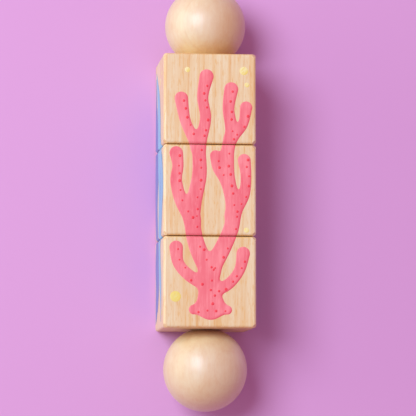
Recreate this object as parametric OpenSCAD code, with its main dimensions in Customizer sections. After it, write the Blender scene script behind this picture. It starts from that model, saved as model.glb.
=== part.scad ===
// Wooden block rattle: three square blocks that turn on a dowel between two balls.
// The rattle lies on the undersides of its blocks. Millimetres, +Z up, +Y along the axle.
// The origin is on the ground, under the centre of the middle block.

/* [Blocks] */
// Width and height of each block, across the axle
block_side = 33; // [31:0.5:42]
// Length of each block, along the axle
block_length = 32.3; // [28:0.1:42]
// Radius of the blocks' rounded edges
block_edge_radius = 1; // [0.6:0.1:2.5]
// How far each corner of a block is sanded back, where its rounded edges meet
corner_sanding = 0.6; // [0.1:0.05:1]
// Gap between one block and the next
block_gap = 0.3; // [0.1:0.1:1.5]
// Chamfer at each mouth of the axle hole through a block
block_bore_chamfer = 0.5; // [0.2:0.1:1]

/* [End balls] */
// Diameter of the ball at the top end
top_ball_diameter = 29; // [25:0.5:31]
// Diameter of the ball at the bottom end
bottom_ball_diameter = 30; // [25:0.5:31]
// Radius of the flat turned on the top ball, where it faces the blocks
top_ball_flat_radius = 7.9; // [5.5:0.1:9]
// Radius of the flat turned on the bottom ball, where it faces the blocks
bottom_ball_flat_radius = 5.5; // [5.5:0.1:9]
// Gap between the top ball and the top block
top_ball_gap = 0.1; // [0.1:0.1:1.5]
// Gap between the bottom ball and the bottom block
bottom_ball_gap = 0.3; // [0.1:0.1:1.5]

/* [Axle] */
// Diameter of the dowel that joins the balls
axle_diameter = 8; // [6:0.5:10]
// Depth of the blind hole in each ball, from its flat
axle_hole_depth = 17; // [12:0.5:20]
// Chamfer at each end of the dowel
axle_chamfer = 0.6; // [0.3:0.1:1.2]
// Gap for glue round the dowel and round each plug
glue_gap = 0.05; // [0.02:0.01:0.15]
// Running clearance between a block's hole and the dowel, on the radius
axle_clearance = 0.25; // [0.1:0.05:0.5]

/* [Rattle chambers] */
// Diameter of each loose steel ball
rattle_ball_diameter = 6.35; // [4.5:0.05:7.5]
// Clearance between a loose ball and its chamber, on the radius and at each end
rattle_ball_clearance = 0.3; // [0.15:0.05:0.6]
// Wood left between a chamber and the block's two nearest faces
chamber_side_wall = 3.5; // [2.5:0.1:4.5]
// Wood left at the closed end of a chamber
chamber_end_wall = 5; // [3:0.5:8]
// Length of the glued plug that closes a chamber
plug_length = 6; // [4:0.5:8]

/* [Hidden] */

block_wood = [0.93, 0.78, 0.64];
ball_wood = [0.90, 0.74, 0.60];
dowel_wood = [0.86, 0.70, 0.53];
plug_wood = [0.80, 0.63, 0.45];
steel = [0.75, 0.76, 0.78];

// A sliver by which a cutting tool passes the face that it cuts
cut_past = 1;
edge_facets = 48;
bore_facets = 64;
ball_facets = 128;

axle_height = block_side / 2;
block_pitch = block_length + block_gap;
stack_half_length = block_pitch + block_length / 2;

// Each block's place along the axle, and the side to which its chambers open.
// They open towards a neighbouring block, so no plug shows.
TOP = [block_pitch, -1];
MIDDLE = [0, -1];
BOTTOM = [-block_pitch, 1];

bore_radius = axle_diameter / 2 + axle_clearance;
chamber_radius = rattle_ball_diameter / 2 + rattle_ball_clearance;
chamber_depth = block_length - chamber_end_wall;
chamber_offset = block_side / 2 - chamber_side_wall - chamber_radius;

top_flat_y = stack_half_length + top_ball_gap;
bottom_flat_y = -stack_half_length - bottom_ball_gap;
function flat_to_centre(diameter, flat_radius) = sqrt(pow(diameter / 2, 2) - pow(flat_radius, 2));

// Puts children, drawn round the Z axis, on the axle with +Z turned to side (+1 or -1) of Y
module along_axle(y, side = 1) {
    translate([0, y, axle_height]) rotate([-90 * side, 0, 0]) children();
}

// Chamber axes a and b lie on opposite corners, so a block stays in balance
module at_chamber(letter) {
    s = letter == "a" ? 1 : -1;
    translate([s * chamber_offset, 0, s * chamber_offset]) children();
}

// A square outline with rounded corners, centred on the origin
module rounded_outline(width, height, r) {
    square([width, height - 2 * r], center = true);
    square([width - 2 * r, height], center = true);
    for (u = [-1, 1], v = [-1, 1])
        translate([u * (width / 2 - r), v * (height / 2 - r)]) circle(r, $fn = edge_facets);
}

// A box with all its edges rounded and its corners sanded back, centred on the origin:
// what three rounded bars, one along each axis, have in common with a large ball
module rounded_box(size, r, sanding) {
    corner_reach = norm(size / 2 - [r, r, r] * (1 - sqrt(0.5)));
    intersection() {
        sphere(corner_reach - sanding, $fn = ball_facets);
        translate([0, 0, -size.z / 2])
            linear_extrude(size.z) rounded_outline(size.x, size.y, r);
        rotate([90, 0, 90]) translate([0, 0, -size.x / 2])
            linear_extrude(size.x) rounded_outline(size.y, size.z, r);
        rotate([90, 0, 0]) translate([0, 0, -size.y / 2])
            linear_extrude(size.y) rounded_outline(size.x, size.z, r);
    }
}

// A through hole of the given radius with a chamfer at both mouths, centred on the origin
module chamfered_hole(radius, length, chamfer) {
    cylinder(r = radius, h = length + 2 * cut_past, center = true, $fn = bore_facets);
    for (end = [0, 1]) mirror([0, 0, end])
        translate([0, 0, length / 2 - chamfer])
            cylinder(r1 = radius, r2 = radius + chamfer + cut_past, h = chamfer + cut_past,
                     $fn = bore_facets);
}

module block(place) {
    y = place[0];
    side = place[1];
    color(block_wood) difference() {
        translate([0, y, axle_height])
            rounded_box([block_side, block_length, block_side], block_edge_radius, corner_sanding);
        along_axle(y) chamfered_hole(bore_radius, block_length, block_bore_chamfer);
        for (letter = ["a", "b"]) at_chamber(letter)
            along_axle(y + side * (block_length / 2 - chamber_depth), side)
                cylinder(r = chamber_radius, h = chamber_depth + cut_past, $fn = bore_facets);
    }
}

// A loose ball at rest against the closed end of its chamber
module rattle_ball(place, letter) {
    y = place[0];
    side = place[1];
    closed_end = block_length / 2 - chamber_depth;
    color(steel) at_chamber(letter)
        along_axle(y + side * (closed_end + rattle_ball_clearance + rattle_ball_diameter / 2))
            sphere(d = rattle_ball_diameter, $fn = bore_facets);
}

module chamber_plug(place, letter) {
    y = place[0];
    side = place[1];
    color(plug_wood) at_chamber(letter)
        along_axle(y + side * (block_length / 2 - plug_length), side)
            cylinder(r = chamber_radius - glue_gap, h = plug_length, $fn = bore_facets);
}

// A ball with a flat towards the blocks and a blind hole for the dowel
module end_ball(diameter, flat_radius, flat_y, side) {
    centre_y = flat_y + side * flat_to_centre(diameter, flat_radius);
    color(ball_wood) difference() {
        along_axle(centre_y) sphere(d = diameter, $fn = ball_facets);
        along_axle(flat_y, -side)
            cylinder(d = diameter, h = diameter, $fn = bore_facets);
        along_axle(flat_y - side * cut_past, side)
            cylinder(d = axle_diameter + 2 * glue_gap, h = axle_hole_depth + cut_past,
                     $fn = bore_facets);
    }
}

// The dowel stops short of the bottom of each blind hole by the glue gap
module axle_dowel() {
    low = bottom_flat_y - axle_hole_depth + glue_gap;
    high = top_flat_y + axle_hole_depth - glue_gap;
    r = axle_diameter / 2;
    c = axle_chamfer;
    length = high - low;
    color(dowel_wood) along_axle(low) rotate_extrude($fn = bore_facets)
        polygon([[0, 0], [r - c, 0], [r, c], [r, length - c], [r - c, length], [0, length]]);
}

axle_dowel();
end_ball(top_ball_diameter, top_ball_flat_radius, top_flat_y, 1);  // end_ball_top
end_ball(bottom_ball_diameter, bottom_ball_flat_radius, bottom_flat_y, -1);  // end_ball_bottom
block(TOP);  // block_top
block(MIDDLE);  // block_middle
block(BOTTOM);  // block_bottom
rattle_ball(TOP, "a");  // rattle_ball_top_a
rattle_ball(TOP, "b");  // rattle_ball_top_b
rattle_ball(MIDDLE, "a");  // rattle_ball_middle_a
rattle_ball(MIDDLE, "b");  // rattle_ball_middle_b
rattle_ball(BOTTOM, "a");  // rattle_ball_bottom_a
rattle_ball(BOTTOM, "b");  // rattle_ball_bottom_b
chamber_plug(TOP, "a");  // chamber_plug_top_a
chamber_plug(TOP, "b");  // chamber_plug_top_b
chamber_plug(MIDDLE, "a");  // chamber_plug_middle_a
chamber_plug(MIDDLE, "b");  // chamber_plug_middle_b
chamber_plug(BOTTOM, "a");  // chamber_plug_bottom_a
chamber_plug(BOTTOM, "b");  // chamber_plug_bottom_b
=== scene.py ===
import math
import random

import bpy
import numpy as np
from mathutils import Matrix, Vector
from mathutils.geometry import delaunay_2d_cdt


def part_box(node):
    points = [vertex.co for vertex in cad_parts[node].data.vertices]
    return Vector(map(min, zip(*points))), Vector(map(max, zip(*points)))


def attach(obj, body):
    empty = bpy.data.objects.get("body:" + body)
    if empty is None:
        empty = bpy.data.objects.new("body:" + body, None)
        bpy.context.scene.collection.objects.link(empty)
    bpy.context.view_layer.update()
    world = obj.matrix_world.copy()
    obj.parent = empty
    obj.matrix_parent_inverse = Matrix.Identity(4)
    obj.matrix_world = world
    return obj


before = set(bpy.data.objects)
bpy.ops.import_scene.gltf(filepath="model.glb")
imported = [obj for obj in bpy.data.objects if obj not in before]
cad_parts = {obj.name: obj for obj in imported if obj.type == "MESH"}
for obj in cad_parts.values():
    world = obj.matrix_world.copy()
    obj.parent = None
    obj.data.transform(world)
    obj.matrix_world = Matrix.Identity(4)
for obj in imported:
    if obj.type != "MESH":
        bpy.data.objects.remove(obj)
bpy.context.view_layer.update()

# Places read from the frame, in metres
BLOCKS = {"top": "block_top", "middle": "block_middle", "bottom": "block_bottom"}
middle_low, middle_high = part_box(BLOCKS["middle"])
AXLE_HEIGHT = (middle_low.z + middle_high.z) / 2

# Camera: its place in the object's frame and what it looks at, lens and sensor in millimetres,
# and the range of distances that it sees
CAMERA_AT = Vector((-0.0972, -0.0925, 0.9395))
CAMERA_AIM = Vector((0.00105, -0.0049, AXLE_HEIGHT))
CAMERA_LENS = 224.3
SENSOR_WIDTH = 36
CAMERA_RANGE = (0.01, 50)

# Floor, whose colour also fills the background
FLOOR_COLOUR = (0.65, 0.382, 0.7, 1)
FLOOR_DROP = 0.0001
FLOOR_SIZE = 6
FLOOR_ROUGHNESS = 0.9
FLOOR_GLOSS = 0.1

# Lamps: soft ellipses, each by azimuth and elevation in degrees, width, height, watts and colour
LAMP_DISTANCE = 1.3
LAMPS = {
    "key": (152, 57, 0.76, 0.76, 13.4, (0.96, 1, 1.08)),
    "side": (170, 11, 1.4, 0.47, 5.3, (0.76, 1, 0.64)),
}
# Light from all round, warm as in a room with pale wood and a rose-coloured floor
FILL_COLOUR = (1, 0.49, 0.665, 1)
FILL_STRENGTH = 0.5

# Painted faces: the direction across each face, seen from outside with +Y up, and its outward side
FACES = {
    "front": (Vector((1, 0, 0)), Vector((0, 0, 1))),
    "left": (Vector((0, 0, 1)), Vector((-1, 0, 0))),
    "right": (Vector((0, 0, -1)), Vector((1, 0, 0))),
    "back": (Vector((-1, 0, 0)), Vector((0, 0, -1))),
}

# Paint and the designs below are in millimetres
MM = 0.001
# The rounded edges and sanded corners of the solid blocks
EDGE_RADIUS = 1.0
CORNER_SANDING = 0.6
# How far paint keeps from the sanded corners, and how far it reaches round an edge
CORNER_GAP = 0.05
PAINT_REACH = math.radians(80)
# Thickness of paint, and how deep its underside is sunk in what it lies on
PAINT_FILM = 0.05
PAINT_SUNK = 0.03
# Paint thins out towards its rim: the rim's width, and the share of the thickness that is left
PAINT_BEVEL = 0.25
FILM_RIM = 0.2
DOT_RIM = 0.3
# A film's outline is traced on a grid: its cell, and its margin round the face in cells
PAINT_CELL = 0.3
GRID_MARGIN = 0.7
# An outline's points keep this share of a cell away from the grid's corners
CROSSING_MARGIN = 0.02
# Outlines are also traced inside the shape, at these distances, for the rim and the shading
PAINT_LEVELS = (0, -0.2, -0.5, -1.1)
# Points fill a film: in rows at these turns in degrees on a rounded edge, with a spacing along
# them, and in a wide lattice on the flat, with its own spacing and margin
EDGE_ROWS = (0, 15, 30, 45, 60)
EDGE_SPACING = 0.4
FLAT_SPACING = 1.7
FLAT_MARGIN = 1
# How far these points keep inside the outline and away from the other traced lines
OUTLINE_GAP = 0.08
LEVEL_GAP = 0.07
# Points nearer to each other than this become one
MERGE_DISTANCE = 1e-5
# Faces that meet at a larger angle than this keep a sharp edge between them
SHARP_ANGLE = math.radians(50)
# Steps in each stretch of a curved stroke
CURVE_STEPS = 6
# A distance beyond any design, and the least number that is divided by
FAR_AWAY = 1e3
TINY = 1e-9
# Brushed shading falls on the side of a shape that looks this way across its face, and fades out
# over this width
SHADE_SIDE = np.array((0.8, -0.6))
SHADE_WIDTH = 0.9
# Half the step over which a shape's slope is measured
SLOPE_STEP = 0.05

# Each design is a list of tapered strokes: across the face, along the axle, half-width.
# Zero is the centre of the middle block's face. Its blend rounds off where strokes meet.
CORAL_BLEND = 1.6
CORAL = [
    [(-5.8, -42.4, 1.7), (0, -41.6, 2.6), (6.2, -42.5, 1.6)],
    [(0.2, -41, 5.0), (-0.3, -35.5, 3.7), (0, -29, 3.5), (0, -26, 3.2)],
    [(-0.3, -29, 3.2), (-4.4, -20.5, 3.0), (-6.2, -12, 2.8), (-5.6, -4, 2.7), (-3.8, 5, 2.6),
     (-3.9, 13, 2.4), (-4.4, 18, 2.2)],
    [(0.3, -28, 3.2), (4.8, -20, 2.9), (7.9, -12, 2.7), (8.0, -4, 2.6), (6.4, 4, 2.5),
     (6.2, 13, 2.4), (7.6, 21, 2.2), (6.6, 29, 2.1), (7.6, 36, 2.5)],
    [(-6.2, -11, 2.5), (-10.2, -4, 2.3), (-12.0, 3, 2.1), (-11.4, 8.5, 2.0), (-12.0, 13, 2.4)],
    [(-4.6, 16, 2.2), (-8.6, 24, 1.9), (-10.2, 32.5, 2.4)],
    [(-4.2, 15, 2.2), (-1.6, 25, 2.0), (-2.6, 33, 2.0), (-1.2, 40.5, 2.5)],
    [(7.8, -9, 2.3), (12.0, -2, 2.0), (12.8, 5, 1.9), (12.2, 10.6, 2.3)],
    [(6.2, 3, 1.9), (2.6, 7.5, 1.6), (1.9, 12.2, 1.9)],
    [(7.2, 18, 1.8), (11.6, 23, 1.7), (12.9, 29.5, 2.2)],
    [(-0.8, -34, 2.4), (-7.2, -30.5, 2.1), (-11.2, -26, 2.0), (-12.0, -20.5, 2.4)],
    [(0.2, -36, 2.3), (6.2, -33.6, 2.0), (10.4, -28.5, 1.9), (11.8, -22.5, 2.4)],
]
WAVES_BLEND = 0.3
WAVES = [
    [(-13.8, -46, 0.4), (-10.6, -40, 3.8), (-9.2, -33, 4.6), (-10.6, -25, 4.4), (-9.8, -17, 3.4),
     (-12, -6, 3.8), (-12.4, 4, 4.0), (-12, 16, 3.8), (-12.3, 28, 3.0), (-13, 43, 0.4)],
    [(-6.4, -42, 0.5), (-4.2, -34, 3.0), (-5.2, -26, 2.8), (-5.8, -20, 2.6), (-7, -12, 1.6),
     (-8, -4, 1.0), (-6.4, 6, 2.6), (-5.8, 14, 2.8), (-7.6, 23, 2.2), (-9.5, 32, 0.4)],
]
LIGHT_WAVES_BLEND = 0.2
LIGHT_WAVES = [
    [(6.8, -46, 0.3), (6.6, -39, 1.5), (4.6, -32, 3.4), (2.0, -24, 3.4), (0.6, -13, 3.2),
     (1.2, -4, 3.4), (1.2, 4, 3.8), (-0.6, 14, 4.6), (-0.2, 24, 5.0), (-2.4, 32, 4.6),
     (-7.0, 39, 2.4), (-11.5, 45, 0.3)],
    [(2.4, -20, 1.4), (6, -11, 3.2), (9, -1, 3.7), (7.8, 9, 3.0), (3.2, 18, 2.8), (1.2, 26, 2.0),
     (-0.6, 34, 0.3)],
    [(8.6, -9, 0.4), (12.6, -1, 1.9), (12.8, 5, 1.8), (10.5, 13, 0.3)],
]
GRASS_BLEND = 0.4
GRASS = [
    [(-9, -48, 1.8), (-11, -30, 2.0), (-8, -10, 2.0), (-11, 10, 1.6), (-9, 28, 0.5)],
    [(-4, -48, 1.9), (-3, -28, 2.3), (-6, -6, 2.2), (-2.5, 16, 1.8), (-4.5, 41, 0.5)],
    [(2, -48, 1.9), (4, -30, 2.1), (1.5, -12, 2.0), (4, 6, 1.5), (3, 20, 0.5)],
    [(7, -48, 1.8), (9, -26, 2.1), (7, -4, 2.0), (10, 18, 1.5), (8.5, 35, 0.5)],
    [(12, -48, 1.5), (13, -34, 1.6), (11.5, -20, 1.3), (13, -8, 0.4)],
]
# Stars: centre, reach of the arms, turn in degrees. Each arm is a stroke by shares of its reach:
# how far out each point is, and its half-width.
STARS_BLEND = 1.2
STARS = [(-3, 17, 12, 8), (4.5, -14.5, 8.5, 40), (-5, -36, 6.5, -12)]
STAR_ARMS = 5
STAR_ARM = ((0, 0.34), (0.5, 0.22), (0.9, 0.09))

# Round dots: across, along, radius
FRONT_BUBBLES = [(12.1, 42.6, 1.5), (13.2, 37.6, 0.85), (-8.0, 42.8, 0.95), (-12.2, -37.8, 1.9),
                 (13.0, -14.2, 0.9)]
LEFT_BUBBLES = [(4, 40, 1.3), (9, 42.5, 0.8), (11, -43, 1.2)]
RIGHT_BUBBLES = [(3, 34, 1.5), (-10, 41, 1.1), (11.5, 4, 1.2)]
# A dot's rings, as shares of its radius, and the number of its sides
DOT_RINGS = (0.5, 0.8, 1)
DOT_SIDES = 18
# Spots on the coral: their spacing, its scatter as a share of it, their radii, how far to the side
# of a stroke they lie as shares of its half-width, and the seed that scatters them
SPOT_SPACING = 2.6
SPOT_SCATTER = 0.4
SPOT_RADII = (0.32, 0.55)
SPOT_SIDE = (0.15, 0.62)
SPOT_SEED = 11

# Where in the wood each piece is cut, and its turn in degrees round the grain, which runs along Y
CUT_FROM = {
    "block_top": ((0.013, 0.21, 0.004), 0),
    "block_middle": ((0.071, -0.34, 0.052), 0),
    "block_bottom": ((-0.048, 0.57, 0.031), 0),
    "dowel": ((0.3, 0.1, 0.05), 0),
    "top_ball": ((0.02, -0.15, 0.09), 25),
    "bottom_ball": ((-0.06, 0.4, 0.02), -20),
    "plug": ((0.11, 0.02, -0.07), 90),
}
# Patterns in the wood: how finely each varies across and along the grain, its detail and roughness
PATTERNS = {
    "waver": ((28, 7, 28), 2.0, 0.5),
    "break": ((160, 26, 160), 2.0, 0.6),
    "streak": ((560, 16, 560), 3.0, 0.6),
    "fibre": ((1500, 70, 1500), 3.0, 0.65),
    "cloud": ((170, 60, 170), 3.0, 0.6),
    "fleck": ((2400, 130, 2400), 1.0, 0.5),
    "dash": ((1600, 260, 1600), 3.0, 0.65),
    "mottle": ((330, 230, 330), 3.0, 0.6),
}
# The values of each pattern between which it sets in
SETTING_IN = {
    "break": (0.42, 0.62), "streak": (0.3, 0.72), "fibre": (0.3, 0.72), "cloud": (0.3, 0.72),
    "fleck": (0.66, 0.78), "dash": (0.52, 0.66), "mottle": (0.36, 0.68),
}
# The middle of a noise's colour, and the directions across the grain
NOISE_MIDDLE = (0.5, 0.5, 0.5)
ACROSS_GRAIN = (1, 0, 1)
# Growth rings: their spacing, the place of the wood's zero as seen from their pith, which lies
# outside each piece, and how widely they waver in each direction
RING_SPACING = 0.0042
FROM_PITH = (0.085, 0, 0.03)
RING_WAVER = (0.006, 0.006, 0.006)
# How uneven their spacing is, in rings, and how quickly that changes from ring to ring
RING_UNEVENNESS = 2.4
UNEVEN_SCALE = 0.55
UNEVEN_DETAIL = 1.0
# How quickly strong and weak rings alternate, and the noise's range with the strengths it gives
STRENGTH_SCALE = 1.3
STRENGTH_DETAIL = 0.0
STRENGTH_RANGE = (0.35, 0.72, 0.12, 1.0)
# Where in a ring its dark late wood and the thin line at its end rise and fall
LATE_WOOD = ((0.2, 0.92), (0.93, 1.0))
RING_END = ((0.86, 0.92), (0.95, 0.98))
# Tints of the line at a ring's end and of warm streaks, and where warm streaks set in
RING_LINE = (0.86, 0.62, 0.44, 1)
WARM_GRAIN = (0.97, 0.80, 0.58, 1)
WARM_RANGE = (0.5, 0.68)

# A finish of wood: pale and dark colour, how much rings and patterns darken it, how strong the
# warm streaks and ring lines are, range of roughness, gloss and its tint, refraction, and polish.
# Ends are wood cut across, darker as end grain and also as painted shade where they face a
# neighbouring part: which way it faces along Y (0 is both), how squarely from and to, and its tint.
# The painted shade is a ball's darker, warmer side away from the lamps: its direction, how
# squarely from and to, and its tint.
BLOCK_WOOD = {
    "pale": (0.80, 0.795, 0.535, 1),
    "dark": (0.735, 0.53, 0.215, 1),
    "rings": 0.45,
    "tones": {"streak": 0.338, "fibre": 0.39, "cloud": 0.2, "fleck": 0.325, "dash": 0.39},
    "warm": 0.715,
    "lines": 0.9,
    "roughness": (0.35, 0.47),
    "gloss": 0.75,
    "gleam": (0.7, 0.85, 1, 1),
    "refraction": 1.5,
    "polish": 0.0,
    # End grain, darkened also as painted shade in the gaps between the blocks
    "ends": (0, 0.4, 0.95, (1, 0.82, 0.53, 1)),
}
DOWEL_WOOD = {**BLOCK_WOOD, "pale": (0.80, 0.58, 0.36, 1)}
PLUG_WOOD = {**BLOCK_WOOD, "pale": (0.76, 0.54, 0.33, 1)}
BALL_WOOD = {
    "pale": (0.86, 0.755, 0.415, 1),
    "dark": (0.76, 0.51, 0.18, 1),
    "rings": 0.1,
    "tones": {"streak": 0.104, "fibre": 0.12, "cloud": 0.3, "fleck": 0.1, "dash": 0.12,
              "mottle": 0.18},
    "warm": 0.22,
    "lines": 0.2,
    "roughness": (0.61, 0.73),
    "gloss": 1.0,
    "gleam": (0.2, 0.52, 1, 1),
    "refraction": 1.9,
    "polish": 0.75,
}
# On the balls only the end that faces a block is darkened: painted shade where the block shades the ball
TOP_BALL_WOOD = {
    **BALL_WOOD,
    "ends": (-1, 0.4, 0.95, (0.98, 0.79, 0.52, 1)),
    # Painted shade on the side of the ball away from the lamps
    "painted_shade": ((0.93, -0.36, 0), -0.05, 0.75, (0.94, 0.80, 0.56, 1)),
}
BOTTOM_BALL_WOOD = {
    **BALL_WOOD,
    "ends": (1, 0.70, 0.95, (0.68, 0.40, 0.26, 1)),
    # Painted shade on the side of the ball away from the lamps
    "painted_shade": ((0.35, -0.93, 0), 0.1, 0.85, (0.92, 0.84, 0.61, 1)),
}
POLISH_ROUGHNESS = 0.33
# The fibre pattern's values over which roughness goes from its low to its high end
FIBRE_RANGE = (0.2, 0.8)
# Relief: distance in metres and strength. Flecks are sunk by this share of the fibres' height.
WOOD_RELIEF = (0.00006, 0.35)
PAINT_RELIEF = (0.00004, 0.3)
FLECK_DEPTH = 0.6
# The bloom of sanded wood and chalky paint seen almost edge-on: its weight and tint
WOOD_SHEEN = (0.2, (1, 1, 0.7, 1))
BLUE_SHEEN = (0.5, (0.38, 0.53, 0.93, 1))
LIGHT_BLUE_SHEEN = (0.8, (0.40, 0.73, 0.94, 1))
SHEEN_ROUGHNESS = 0.5

# Steel: two greys, how finely and in what detail it is worn, and the wear's range with the
# roughness that it gives
STEEL_COLOURS = ((0.52, 0.53, 0.55, 1), (0.66, 0.67, 0.69, 1))
WEAR_SCALE = 900
WEAR_DETAIL = 3.0
WEAR_RANGE = (0.3, 0.7, 0.16, 0.32)

# Paint colours: thin over the grain, full, and brushed shade
CORAL_PAINT = ((0.90, 0.31, 0.33, 1), (0.79, 0.155, 0.195, 1), (0.70, 0.05, 0.09, 1))
RED_PAINT = ((0.88, 0.09, 0.11, 1), (0.80, 0.04, 0.065, 1), (0.66, 0.02, 0.04, 1))
PALE_YELLOW = ((0.83, 0.88, 0.50, 1), (0.83, 0.83, 0.35, 1), (0.80, 0.70, 0.12, 1))
STRONG_YELLOW = ((0.78, 0.80, 0.28, 1), (0.77, 0.74, 0.15, 1), PALE_YELLOW[2])
YELLOW_PAINTS = {"top": PALE_YELLOW, "middle": PALE_YELLOW, "bottom": STRONG_YELLOW}
BLUE_PAINT = ((0.12, 0.20, 0.42, 1), (0.035, 0.085, 0.30, 1), (0.02, 0.06, 0.25, 1))
LIGHT_BLUE_PAINT = ((0.19, 0.48, 0.54, 1), (0.07, 0.31, 0.46, 1), BLUE_PAINT[0])
GREEN_PAINT = ((0.28, 0.66, 0.35, 1), (0.08, 0.52, 0.21, 1), (0.05, 0.24, 0.12, 1))
ORANGE_PAINT = ((0.95, 0.66, 0.22, 1), (0.90, 0.47, 0.10, 1), (0.70, 0.22, 0.04, 1))
# Where paint is worn thin: the values of each pattern between which it sets in, and its strength
PAINT_WEAR = {
    "streak": (0.32, 0.68, 0.35),
    "cloud": (0.38, 0.68, 0.5),
    "fibre": (0.45, 0.72, 0.35),
    "dash": (0.52, 0.66, 0.35),
}
PAINT_ROUGHNESS = (0.32, 0.46)
# The cloud pattern's range, with the strengths of the brushed shade that it gives
SHADE_PATCHES = (0.2, 0.7, 0.75, 1.0)
# Dry strokes of shade: their slant, how finely they vary, their detail and roughness, the values
# between which they set in, and how strongly the yellow is brushed with them
BRUSH_SLANT = math.radians(35)
BRUSH_STRETCH = (1500, 420, 600)
BRUSH_DETAIL = 3.0
BRUSH_ROUGHNESS = 0.6
BRUSH_RANGE = (0.46, 0.62)
YELLOW_BRUSHING = 0.6


def add_camera():
    """The camera that sees the rattle as the photo does, with the axle upright in the picture."""
    data = bpy.data.cameras.new("camera")
    data.lens = CAMERA_LENS
    data.sensor_width = SENSOR_WIDTH
    data.clip_start, data.clip_end = CAMERA_RANGE
    camera = bpy.data.objects.new("camera", data)
    camera.location = CAMERA_AT
    back = (CAMERA_AT - CAMERA_AIM).normalized()
    right = Vector((0, 1, 0)).cross(back).normalized()
    camera.rotation_euler = Matrix((right, back.cross(right), back)).transposed().to_euler()
    bpy.context.scene.collection.objects.link(camera)
    bpy.context.scene.camera = camera


def add_lamp(name, azimuth, elevation, width, height, power, colour):
    """A soft lamp that looks at the middle block from its azimuth and elevation."""
    data = bpy.data.lights.new(name, "AREA")
    data.shape = "ELLIPSE"
    data.size = width
    data.size_y = height
    data.energy = power
    data.color = colour
    lamp = bpy.data.objects.new(name, data)
    turn, rise = math.radians(azimuth), math.radians(elevation)
    out = Vector((math.cos(turn) * math.cos(rise), math.sin(turn) * math.cos(rise), math.sin(rise)))
    lamp.location = Vector((0, 0, AXLE_HEIGHT)) + out * LAMP_DISTANCE
    lamp.rotation_euler = out.to_track_quat("Z", "Y").to_euler()
    bpy.context.scene.collection.objects.link(lamp)


def add_world():
    """Soft light from all round, and a plain background in the floor's colour for the camera."""
    world = bpy.data.worlds.new("studio")
    bpy.context.scene.world = world
    world.use_nodes = True
    light = world.node_tree.nodes["Background"]
    set_inputs(world, light, {"Color": FILL_COLOUR, "Strength": FILL_STRENGTH})
    seen = add_node(world, "Background", {"Color": FLOOR_COLOUR})
    by_camera = add_node(world, "LightPath", {}).outputs["Is Camera Ray"]
    mix = add_node(world, "MixShader", {0: by_camera, 1: light.outputs[0], 2: seen.outputs[0]})
    set_inputs(world, world.node_tree.nodes["World Output"], {"Surface": mix.outputs[0]})


def add_floor():
    """A wide matt floor, just below the surface that the rattle lies on."""
    half = FLOOR_SIZE / 2
    mesh = bpy.data.meshes.new("floor")
    corners = [(-half, -half), (half, -half), (half, half), (-half, half)]
    mesh.from_pydata([(x, y, -FLOOR_DROP) for x, y in corners], [], [(0, 1, 2, 3)])
    floor = bpy.data.objects.new("floor", mesh)
    bpy.context.scene.collection.objects.link(floor)
    material = new_material("floor")
    set_shader(material, {"Base Color": FLOOR_COLOUR, "Roughness": FLOOR_ROUGHNESS,
                          "Specular IOR Level": FLOOR_GLOSS})
    mesh.materials.append(material)


def new_material(name):
    material = bpy.data.materials.new(name)
    material.use_nodes = True
    return material


def set_inputs(owner, node, inputs):
    """Sets a node's inputs to values, or joins them to other nodes' outputs."""
    for key, value in inputs.items():
        if isinstance(value, bpy.types.NodeSocket):
            owner.node_tree.links.new(value, node.inputs[key])
        else:
            node.inputs[key].default_value = value


def set_shader(material, inputs):
    set_inputs(material, material.node_tree.nodes["Principled BSDF"], inputs)


def add_node(owner, kind, inputs, **settings):
    """A shader node of a material or the world, with its settings and its inputs."""
    node = owner.node_tree.nodes.new("ShaderNode" + kind)
    for name, value in settings.items():
        setattr(node, name, value)
    set_inputs(owner, node, inputs)
    return node


def maths(material, operation, first, second=0.0, third=0.0):
    inputs = {0: first, 1: second, 2: third}
    return add_node(material, "Math", inputs, operation=operation).outputs[0]


def vector_maths(material, operation, first, second=(0, 0, 0)):
    node = add_node(material, "VectorMath", {0: first, 1: second}, operation=operation)
    return node.outputs["Value" if operation in ("LENGTH", "DOT_PRODUCT") else "Vector"]


def ramp(material, value, start, end, low=0.0, high=1.0):
    inputs = {"Value": value, "From Min": start, "From Max": end, "To Min": low, "To Max": high}
    return add_node(material, "MapRange", inputs, interpolation_type="SMOOTHSTEP").outputs["Result"]


def rise_and_fall(material, value, rise, fall):
    """From 0 to 1 over one range of the value, and back to 0 over another."""
    falling = ramp(material, value, *fall, 1.0, 0.0)
    return maths(material, "MULTIPLY", ramp(material, value, *rise), falling)


def blend_colour(material, share, first, second, mode="MIX"):
    inputs = {0: share, 6: first, 7: second}
    return add_node(material, "Mix", inputs, data_type="RGBA", blend_type=mode).outputs[2]


def noise(material, place, detail, roughness=0.5, scale=1.0):
    inputs = {"Vector": place, "Scale": scale, "Detail": detail, "Roughness": roughness}
    return add_node(material, "TexNoise", inputs).outputs


def stretched(material, place, factors):
    return vector_maths(material, "MULTIPLY", place, factors)


def own_place(material):
    """Place in the piece's own frame."""
    return add_node(material, "TexCoord", {}).outputs["Object"]


def wood_place(material, cut_from):
    """Place in the solid wood: the piece's own place, turned round the grain and shifted."""
    shift, turn = cut_from
    inputs = {"Vector": own_place(material), "Location": shift, "Rotation": (0, math.radians(turn), 0)}
    return add_node(material, "Mapping", inputs).outputs["Vector"]


def pattern(material, place, name):
    """One of the wood's patterns, as the outputs of its noise."""
    factors, detail, roughness = PATTERNS[name]
    return noise(material, stretched(material, place, factors), detail, roughness)


def tone_of(material, place, name):
    """From 0 to 1: how far one of the wood's patterns has set in."""
    return ramp(material, pattern(material, place, name)["Fac"], *SETTING_IN[name])


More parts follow.
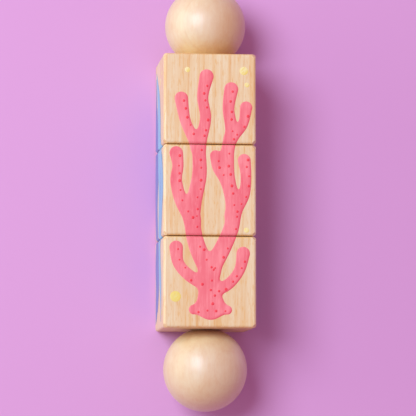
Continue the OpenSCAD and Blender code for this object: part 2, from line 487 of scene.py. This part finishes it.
def growth_rings(material, place):
    """Soft dark late wood and the thin broken line that ends it, in uneven rings round a distant pith."""
    waver = vector_maths(material, "SUBTRACT", pattern(material, place, "waver")["Color"], NOISE_MIDDLE)
    bent = vector_maths(material, "ADD", place, stretched(material, waver, RING_WAVER))
    from_pith = vector_maths(material, "ADD", bent, FROM_PITH)
    radius = vector_maths(material, "LENGTH", stretched(material, from_pith, ACROSS_GRAIN))
    count = maths(material, "DIVIDE", radius, RING_SPACING)
    along_radius = add_node(material, "CombineXYZ", {0: count}).outputs[0]
    uneven = noise(material, along_radius, UNEVEN_DETAIL, scale=UNEVEN_SCALE)["Fac"]
    phase = maths(material, "FRACT", maths(material, "MULTIPLY_ADD", uneven, RING_UNEVENNESS, count))
    strong = noise(material, along_radius, STRENGTH_DETAIL, scale=STRENGTH_SCALE)["Fac"]
    strength = ramp(material, strong, *STRENGTH_RANGE)
    soft = rise_and_fall(material, phase, *LATE_WOOD)
    line = rise_and_fall(material, phase, *RING_END)
    broken = maths(material, "MULTIPLY", line, tone_of(material, place, "break"))
    return maths(material, "MULTIPLY", soft, strength), maths(material, "MULTIPLY", broken, strength)


def facing(material, direction):
    """From -1 to 1: how squarely the surface looks along a direction."""
    normal = add_node(material, "TexCoord", {}).outputs["Normal"]
    return vector_maths(material, "DOT_PRODUCT", normal, direction)


def end_grain_and_shade(material, colour, ends):
    """Wood that is browner where the surface cuts across the grain, which runs along Y, as end grain and
    as painted shade where an end faces a neighbouring part across a gap.
    """
    side, start, stop, tint = ends
    if side == 0:
        squarely = maths(material, "ABSOLUTE", facing(material, (0, 1, 0)))
    else:
        squarely = facing(material, (0, side, 0))
    return blend_colour(material, ramp(material, squarely, start, stop), colour, tint, "MULTIPLY")


def shaded_side_of_ball(material, colour, painted_shade):
    """Painted shade: wood that grows darker and warmer towards the side of the piece away from the lamps.
    """
    direction, start, stop, tint = painted_shade
    share = ramp(material, facing(material, direction), start, stop)
    return blend_colour(material, share, colour, tint, "MULTIPLY")


def wood_colour(material, place, look):
    """Pale wood darkened by its rings and patterns, with warm streaks and a line at each ring's end."""
    soft, line = growth_rings(material, place)
    tone = maths(material, "MULTIPLY", soft, look["rings"])
    for name, share in look["tones"].items():
        tone = maths(material, "MULTIPLY_ADD", tone_of(material, place, name), share, tone)
    colour = blend_colour(material, tone, look["pale"], look["dark"])
    streaks = add_node(material, "SeparateColor", {0: pattern(material, place, "streak")["Color"]})
    warm = ramp(material, streaks.outputs["Green"], *WARM_RANGE)
    warm = maths(material, "MULTIPLY", warm, look["warm"])
    colour = blend_colour(material, warm, colour, WARM_GRAIN, "MULTIPLY")
    line = maths(material, "MULTIPLY", line, look["lines"])
    return blend_colour(material, line, colour, RING_LINE, "MULTIPLY")


def add_relief(material, height, distance, strength):
    """A shallow bump from a height between 0 and 1."""
    bump = add_node(material, "Bump", {"Height": height, "Distance": distance, "Strength": strength})
    set_shader(material, {"Normal": bump.outputs["Normal"]})


def add_sheen(material, weight, tint):
    set_shader(material, {"Sheen Weight": weight, "Sheen Roughness": SHEEN_ROUGHNESS, "Sheen Tint": tint})


def wood(piece, look):
    """Oiled wood of one piece, cut from its own place."""
    material = new_material(piece + "_wood")
    place = wood_place(material, CUT_FROM[piece])
    # End grain and painted shade at the ends
    colour = end_grain_and_shade(material, wood_colour(material, place, look), look["ends"])
    # On the balls, painted shade on the side away from the lamps
    if "painted_shade" in look:
        colour = shaded_side_of_ball(material, colour, look["painted_shade"])
    fibre = pattern(material, place, "fibre")["Fac"]
    roughness = ramp(material, fibre, *FIBRE_RANGE, *look["roughness"])
    set_shader(material, {"Base Color": colour, "Roughness": roughness, "IOR": look["refraction"],
                          "Specular IOR Level": look["gloss"], "Specular Tint": look["gleam"],
                          "Coat Weight": look["polish"], "Coat Roughness": POLISH_ROUGHNESS})
    add_sheen(material, *WOOD_SHEEN)
    flecks = maths(material, "MULTIPLY", tone_of(material, place, "fleck"), FLECK_DEPTH)
    add_relief(material, maths(material, "SUBTRACT", fibre, flecks), *WOOD_RELIEF)
    return material


def steel(name):
    """Ground steel with slight wear."""
    material = new_material(name)
    wear = noise(material, own_place(material), WEAR_DETAIL, scale=WEAR_SCALE)["Fac"]
    colour = blend_colour(material, wear, *STEEL_COLOURS)
    roughness = ramp(material, wear, *WEAR_RANGE)
    set_shader(material, {"Base Color": colour, "Roughness": roughness, "Metallic": 1})
    return material


def brush_strokes(material):
    """Short dry strokes drawn slantwise across the grain."""
    inputs = {"Vector": own_place(material), "Rotation": (0, 0, BRUSH_SLANT)}
    slanted = add_node(material, "Mapping", inputs).outputs["Vector"]
    place = stretched(material, slanted, BRUSH_STRETCH)
    strokes = noise(material, place, BRUSH_DETAIL, BRUSH_ROUGHNESS)["Fac"]
    return ramp(material, strokes, *BRUSH_RANGE)


def paint(kind, block, colours, brushing=0.0):
    """Thin satin paint: the wood's patterns show through, and its shaded side is brushed darker."""
    thin, full, shade = colours
    material = new_material(kind + "_paint_" + block)
    place = wood_place(material, CUT_FROM[BLOCKS[block]])
    worn = 0.0
    for name, (start, stop, share) in PAINT_WEAR.items():
        bare = ramp(material, pattern(material, place, name)["Fac"], start, stop)
        worn = maths(material, "MULTIPLY_ADD", bare, share, worn)
    colour = blend_colour(material, worn, full, thin)
    if brushing:
        strokes = maths(material, "MULTIPLY", brush_strokes(material), brushing)
        colour = blend_colour(material, strokes, colour, shade)
    side = add_node(material, "Attribute", {}, attribute_name="shade").outputs["Fac"]
    patches = ramp(material, pattern(material, place, "cloud")["Fac"], *SHADE_PATCHES)
    colour = blend_colour(material, maths(material, "MULTIPLY", side, patches), colour, shade)
    fibre = pattern(material, place, "fibre")["Fac"]
    roughness = ramp(material, fibre, *FIBRE_RANGE, *PAINT_ROUGHNESS)
    set_shader(material, {"Base Color": colour, "Roughness": roughness})
    add_relief(material, fibre, *PAINT_RELIEF)
    return material


def curve_points(stroke):
    """A smooth run of (across, along, half-width) through a stroke's points, by a Catmull-Rom curve."""
    points = [np.array(p, float) for p in [stroke[0], *stroke, stroke[-1]]]
    run = []
    for before, start, end, after in zip(points, points[1:], points[2:], points[3:]):
        for step in range(CURVE_STEPS):
            t = step / CURVE_STEPS
            run.append(0.5 * (2 * start + (end - before) * t
                              + (2 * before - 5 * start + 4 * end - after) * t ** 2
                              + (3 * start - before - 3 * end + after) * t ** 3))
    run.append(points[-1])
    return run


def stroke_distance(x, y, run):
    """Distance outside (+) or inside (-) a run of tapered stretches with round ends."""
    best = np.full(np.shape(x), FAR_AWAY)
    for start, end in zip(run, run[1:]):
        step = end - start
        reach = (x - start[0]) * step[0] + (y - start[1]) * step[1]
        share = np.clip(reach / max(step[0] ** 2 + step[1] ** 2, TINY), 0, 1)
        gap = np.hypot(x - start[0] - share * step[0], y - start[1] - share * step[1])
        best = np.minimum(best, gap - start[2] - share * step[2])
    return best


def strokes_shape(strokes, blend):
    """One shape in which the strokes run into each other with rounded crotches."""
    runs = [curve_points(stroke) for stroke in strokes]

    def distance(x, y):
        total = stroke_distance(x, y, runs[0])
        for run in runs[1:]:
            other = stroke_distance(x, y, run)
            share = np.clip(0.5 + 0.5 * (other - total) / blend, 0, 1)
            total = other * (1 - share) + total * share - blend * share * (1 - share)
        return total
    return distance


def star_strokes(x, y, reach, turn):
    """The arms of a star, each from the centre out. Before the turn the first points along +Y."""
    arms = []
    for arm in range(STAR_ARMS):
        angle = math.radians(turn + 90 + arm * 360 / STAR_ARMS)
        arms.append([(x + math.cos(angle) * out * reach, y + math.sin(angle) * out * reach, width * reach)
                     for out, width in STAR_ARM])
    return arms


def panel_of(block, face):
    """A block's face in millimetres: its centre and directions, half its width and length, where it
    goes flat, and how far paint reaches along its unrolled rounded edge."""
    low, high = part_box(BLOCKS[block])
    across, outward = FACES[face]
    centre = (low + high) / 2
    half = np.array(((high.z - low.z) / 2 / MM, (high.y - low.y) / 2 / MM))
    flat = half - EDGE_RADIUS
    return {"centre": centre, "across": across, "outward": outward, "along": centre.y / MM,
            "half": half, "flat": flat, "reach": flat + EDGE_RADIUS * PAINT_REACH}


def corner_reach(panel):
    """Radius of the ball that the block's corners are sanded to, less a small gap."""
    half_width, half_length = panel["half"]
    half = np.array((half_width, half_length, half_width))
    return np.linalg.norm(half - EDGE_RADIUS * (1 - math.sqrt(0.5))) - CORNER_SANDING - CORNER_GAP


def rolled(place, flat):
    """Place across the face, and turn of the surface, for a place along the unrolled outline."""
    turn = np.clip((np.abs(place) - flat) / EDGE_RADIUS, 0, None)
    beyond = np.sign(place) * (flat + EDGE_RADIUS * np.sin(turn))
    return np.where(turn > 0, beyond, place), turn


def on_panel(panel, s, t):
    """Across, along, height and unit normal of the block's surface at unrolled places s, t."""
    x, turn_x = rolled(s, panel["flat"][0])
    y, turn_y = rolled(t, panel["flat"][1])
    steep_x = turn_x > turn_y
    turn = np.where(steep_x, turn_x, turn_y)
    height = panel["half"][0] - EDGE_RADIUS * (1 - np.cos(turn))
    lean_x = np.where(steep_x, np.sign(s) * np.sin(turn), 0)
    lean_y = np.where(steep_x, 0, np.sign(t) * np.sin(turn))
    return x, y, height, np.stack((lean_x, lean_y, np.cos(turn)), axis=-1)


def in_frame(panel, x, y, height, normal, lift):
    """Points in the frame, in metres, lifted off the surface by lift millimetres."""
    axes = np.array((panel["across"], (0, 1, 0), panel["outward"]))
    local = np.stack((x, y, height), axis=-1) + normal * np.reshape(lift, (-1, 1))
    return np.array(panel["centre"]) + local @ axes * MM


def clipped_to(panel, shape):
    """A design's distance field over the unrolled face, cut off at the paint's reach and the corners."""
    limit = corner_reach(panel)

    def distance(s, t):
        x, y, height, _ = on_panel(panel, s, t)
        corner = np.sqrt(x ** 2 + y ** 2 + height ** 2) - limit
        sides = np.maximum(np.abs(s) - panel["reach"][0], np.abs(t) - panel["reach"][1])
        return np.maximum(shape(x, y + panel["along"]), np.maximum(sides, corner))
    return distance


def outline_of(field, s, t, level):
    """Points and edges where a field on a grid crosses a level."""
    inside = field < level
    points, known, edges = [], {}, []

    def crossing(i, j, di, dj):
        key = (i, j, di)
        if key not in known:
            near, far = field[i, j] - level, field[i + di, j + dj] - level
            share = min(max(near / (near - far), CROSSING_MARGIN), 1 - CROSSING_MARGIN)
            known[key] = len(points)
            points.append((s[i] + share * di * PAINT_CELL, t[j] + share * dj * PAINT_CELL))
        return known[key]

    corners = inside[:-1, :-1].astype(int) + inside[1:, :-1] + inside[:-1, 1:] + inside[1:, 1:]
    for i, j in zip(*np.nonzero((corners > 0) & (corners < 4))):
        cut = []
        if inside[i, j] != inside[i + 1, j]:
            cut.append(crossing(i, j, 1, 0))
        if inside[i + 1, j] != inside[i + 1, j + 1]:
            cut.append(crossing(i + 1, j, 0, 1))
        if inside[i, j + 1] != inside[i + 1, j + 1]:
            cut.append(crossing(i, j + 1, 1, 0))
        if inside[i, j] != inside[i, j + 1]:
            cut.append(crossing(i, j, 0, 1))
        if len(cut) == 2:
            pairs = [(0, 1)]
        elif inside[i, j]:
            pairs = [(0, 3), (1, 2)]
        else:
            pairs = [(0, 1), (2, 3)]
        edges += [(cut[a], cut[b]) for a, b in pairs]
    return points, edges


def edge_points(flat, reach):
    """Close rows of points on two opposite rounded edges, as places across and along them."""
    turns = EDGE_RADIUS * np.radians(EDGE_ROWS)
    rows = np.concatenate((flat + turns, -flat - turns))
    steps = np.arange(-reach + EDGE_SPACING / 2, reach - EDGE_SPACING / 4, EDGE_SPACING)
    return np.meshgrid(rows, steps, indexing="ij")


def filling_points(panel, clipped):
    """Points inside the outline: close rows on the rounded edges, and a wide lattice on the flat."""
    flat_s, flat_t = panel["flat"]
    reach_s, reach_t = panel["reach"]
    side_s, side_t = edge_points(flat_s, reach_t)
    end_t, end_s = edge_points(flat_t, reach_s)
    lattice = np.meshgrid(np.arange(-flat_s + FLAT_MARGIN, flat_s, FLAT_SPACING),
                          np.arange(-flat_t + FLAT_MARGIN, flat_t, FLAT_SPACING), indexing="ij")
    found = [(side_s, side_t), (end_s, end_t), lattice]
    points = np.concatenate([np.stack((s.ravel(), t.ravel()), axis=-1) for s, t in found])
    depth = clipped(points[:, 0], points[:, 1])
    clear = depth < -OUTLINE_GAP
    for level in PAINT_LEVELS:
        clear &= np.abs(depth - level) > LEVEL_GAP
    return [tuple(point) for point in points[clear]]


def grid_along(reach):
    """Places of the grid's lines, from just outside the paint's reach on one side to the other."""
    return np.arange(-reach - PAINT_CELL * GRID_MARGIN, reach + PAINT_CELL, PAINT_CELL)


def film_triangles(panel, clipped):
    """Unrolled places and triangles that fill a design, or None where it doesn't reach the face."""
    s = grid_along(panel["reach"][0])
    t = grid_along(panel["reach"][1])
    field = clipped(*np.meshgrid(s, t, indexing="ij"))
    points, edges = [], []
    for level in PAINT_LEVELS:
        more, links = outline_of(field, s, t, level)
        edges += [(a + len(points), b + len(points)) for a, b in links]
        points += more
    if not points:
        return None
    points += filling_points(panel, clipped)
    solved = delaunay_2d_cdt([Vector(p) for p in points], edges, [], 0, MERGE_DISTANCE)
    places = np.array([tuple(p) for p in solved[0]])
    triangles = np.array([tuple(face) for face in solved[2]])
    middles = places[triangles].mean(axis=1)
    return places, triangles[clipped(middles[:, 0], middles[:, 1]) < 0]


def closed_film(top, bottom, triangles):
    """Points and faces of a closed film: its top, its underside and the wall round each outline."""
    count = len(top)
    sides = dict.fromkeys(side for a, b, c in triangles for side in ((a, b), (b, c), (c, a)))
    faces = [tuple(triangle) for triangle in triangles]
    faces += [(count + c, count + b, count + a) for a, b, c in triangles]
    faces += [(end, start, count + start, count + end) for start, end in sides
              if (end, start) not in sides]
    return np.concatenate((top, bottom)), faces


def side_shade(shape, x, y, depth):
    """From 0 to 1: how near a point is to a side of the shape that looks towards the shaded side."""
    slope = np.stack((shape(x + SLOPE_STEP, y) - shape(x - SLOPE_STEP, y),
                      shape(x, y + SLOPE_STEP) - shape(x, y - SLOPE_STEP)), axis=-1)
    slope /= np.maximum(np.linalg.norm(slope, axis=1, keepdims=True), TINY)
    return np.clip(1 - depth / SHADE_WIDTH, 0, 1) * np.clip(slope @ SHADE_SIDE, 0, 1)


def add_piece(name, points, faces, shade, material, block):
    """A painted piece with its shading attribute, riding on its block."""
    mesh = bpy.data.meshes.new(name)
    mesh.from_pydata(points.tolist(), [], faces)
    attribute = mesh.attributes.new("shade", "FLOAT", "POINT")
    attribute.data.foreach_set("value", np.asarray(shade, np.float32))
    mesh.materials.append(material)
    mesh.validate()
    mesh.shade_smooth()
    mesh.set_sharp_from_angle(angle=SHARP_ANGLE)
    piece = bpy.data.objects.new(name, mesh)
    bpy.context.scene.collection.objects.link(piece)
    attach(piece, BLOCKS[block])


def add_film(name, block, face, shape, material, base=0.0):
    """Paint of a design on one block's face, left out where the design doesn't reach it."""
    panel = panel_of(block, face)
    filled = film_triangles(panel, clipped_to(panel, shape))
    if filled is None:
        return
    places, triangles = filled
    x, y, height, normal = on_panel(panel, places[:, 0], places[:, 1])
    along = y + panel["along"]
    depth = -shape(x, along)
    lift = base + PAINT_FILM * (FILM_RIM + (1 - FILM_RIM) * np.clip(depth / PAINT_BEVEL, 0, 1))
    top = in_frame(panel, x, y, height, normal, lift)
    bottom = in_frame(panel, x, y, height, normal, np.full(len(x), base - PAINT_SUNK))
    shade = side_shade(shape, x, along, depth)
    points, faces = closed_film(top, bottom, triangles.tolist())
    add_piece(name, points, faces, np.concatenate((shade, shade)), material, block)


def dot_mesh(across, along, radius, base):
    """Points, faces and shading of a low round dot: its middle, its rings, its wall and underside."""
    points = [(across, along, base + PAINT_FILM)]
    shade = [0]
    for ring in DOT_RINGS:
        lift = base + PAINT_FILM * (DOT_RIM if ring == 1 else 1)
        for side in range(DOT_SIDES):
            angle = 2 * math.pi * side / DOT_SIDES
            out = np.array((math.cos(angle), math.sin(angle)))
            points.append((across + radius * ring * out[0], along + radius * ring * out[1], lift))
            shade.append(ring ** 2 * max(0, float(out @ SHADE_SIDE)))
    points += [(x, y, base - PAINT_SUNK) for x, y, _ in points[-DOT_SIDES:]]
    shade += shade[-DOT_SIDES:]
    faces = []
    for side in range(DOT_SIDES):
        after = (side + 1) % DOT_SIDES
        faces.append((0, 1 + side, 1 + after))
        for ring in range(len(DOT_RINGS)):
            inner = 1 + ring * DOT_SIDES
            outer = inner + DOT_SIDES
            faces.append((inner + side, outer + side, outer + after, inner + after))
    faces.append(tuple(reversed(range(len(points) - DOT_SIDES, len(points)))))
    return points, faces, shade


def add_dots(name, block, face, dots, material, base=0.0):
    """Low round dots of paint, as one piece, each kept on the flat of its block's face."""
    panel = panel_of(block, face)
    flat_s, flat_t = panel["flat"]
    points, faces, shade = [], [], []
    for across, along, radius in dots:
        along -= panel["along"]
        if abs(across) > flat_s - radius or abs(along) > flat_t - radius:
            continue
        dot_points, dot_faces, dot_shade = dot_mesh(across, along, radius, base)
        faces += [tuple(len(points) + corner for corner in corners) for corners in dot_faces]
        points += dot_points
        shade += dot_shade
    if not points:
        return
    x, y, lift = np.array(points).T
    height = np.full(len(x), panel["half"][0])
    normal = np.tile((0.0, 0.0, 1.0), (len(x), 1))
    add_piece(name, in_frame(panel, x, y, height, normal, lift), faces, shade, material, block)


def dots_along(strokes, seed):
    """Small dots that follow the shaded side of each stroke."""
    draw = random.Random(seed)
    dots = []
    for stroke in strokes:
        run = curve_points(stroke)
        travelled = SPOT_SPACING * draw.random()
        for start, end in zip(run, run[1:]):
            step = end[:2] - start[:2]
            length = float(np.hypot(*step))
            travelled += length
            if travelled > SPOT_SPACING and length > 0:
                travelled = draw.uniform(-SPOT_SCATTER, SPOT_SCATTER) * SPOT_SPACING
                side = np.array((step[1], -step[0])) / length
                side *= 1 if side @ SHADE_SIDE > 0 else -1
                spot = end[:2] + side * end[2] * draw.uniform(*SPOT_SIDE)
                dots.append((spot[0], spot[1], draw.uniform(*SPOT_RADII)))
    return dots


def paint_front(block, yellow):
    """Branching coral with red spots, and a few yellow bubbles."""
    coral = paint("coral", block, CORAL_PAINT)
    red = paint("red", block, RED_PAINT)
    shape = strokes_shape(CORAL, CORAL_BLEND)
    spots = dots_along(CORAL, SPOT_SEED)
    add_film("paint_coral_" + block, block, "front", shape, coral)
    add_dots("paint_coral_spots_" + block, block, "front", spots, red, PAINT_FILM)
    add_dots("paint_front_bubbles_" + block, block, "front", FRONT_BUBBLES, yellow)


def paint_left(block, yellow):
    """Waves in two blues, the light one over the dark one, and yellow bubbles."""
    blue = paint("blue", block, BLUE_PAINT)
    light_blue = paint("light_blue", block, LIGHT_BLUE_PAINT)
    add_sheen(blue, *BLUE_SHEEN)
    add_sheen(light_blue, *LIGHT_BLUE_SHEEN)
    dark_shape = strokes_shape(WAVES, WAVES_BLEND)
    light_shape = strokes_shape(LIGHT_WAVES, LIGHT_WAVES_BLEND)
    add_film("paint_waves_" + block, block, "left", dark_shape, blue)
    add_film("paint_light_waves_" + block, block, "left", light_shape, light_blue, PAINT_FILM)
    add_dots("paint_left_bubbles_" + block, block, "left", LEFT_BUBBLES, yellow)


def paint_right(block, yellow):
    """Blades of green sea grass, and yellow bubbles."""
    green = paint("green", block, GREEN_PAINT)
    shape = strokes_shape(GRASS, GRASS_BLEND)
    add_film("paint_grass_" + block, block, "right", shape, green)
    add_dots("paint_right_bubbles_" + block, block, "right", RIGHT_BUBBLES, yellow)


def paint_back(block):
    """Orange stars."""
    orange = paint("orange", block, ORANGE_PAINT)
    shape = strokes_shape([arm for star in STARS for arm in star_strokes(*star)], STARS_BLEND)
    add_film("paint_stars_" + block, block, "back", shape, orange)


def add_paintwork():
    for block in BLOCKS:
        yellow = paint("yellow", block, YELLOW_PAINTS[block], YELLOW_BRUSHING)
        paint_front(block, yellow)
        paint_left(block, yellow)
        paint_right(block, yellow)
        paint_back(block)


def dress_solids():
    """Gives every solid of the frame its own finish."""
    finishes = {
        "axle_dowel": wood("dowel", DOWEL_WOOD),
        "end_ball_top": wood("top_ball", TOP_BALL_WOOD),
        "end_ball_bottom": wood("bottom_ball", BOTTOM_BALL_WOOD),
    }
    for node in BLOCKS.values():
        finishes[node] = wood(node, BLOCK_WOOD)
    plug = wood("plug", PLUG_WOOD)
    ball = steel("rattle_steel")
    for name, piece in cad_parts.items():
        if name.startswith("chamber_plug"):
            finish = plug
        elif name.startswith("rattle_ball"):
            finish = ball
        else:
            finish = finishes[name]
        for slot in piece.material_slots:
            slot.material = finish


add_camera()
add_world()
for name, lamp in LAMPS.items():
    add_lamp(name, *lamp)
add_floor()
dress_solids()
add_paintwork()

bpy.context.scene.view_settings.view_transform = "Standard"

bpy.context.view_layer.update()
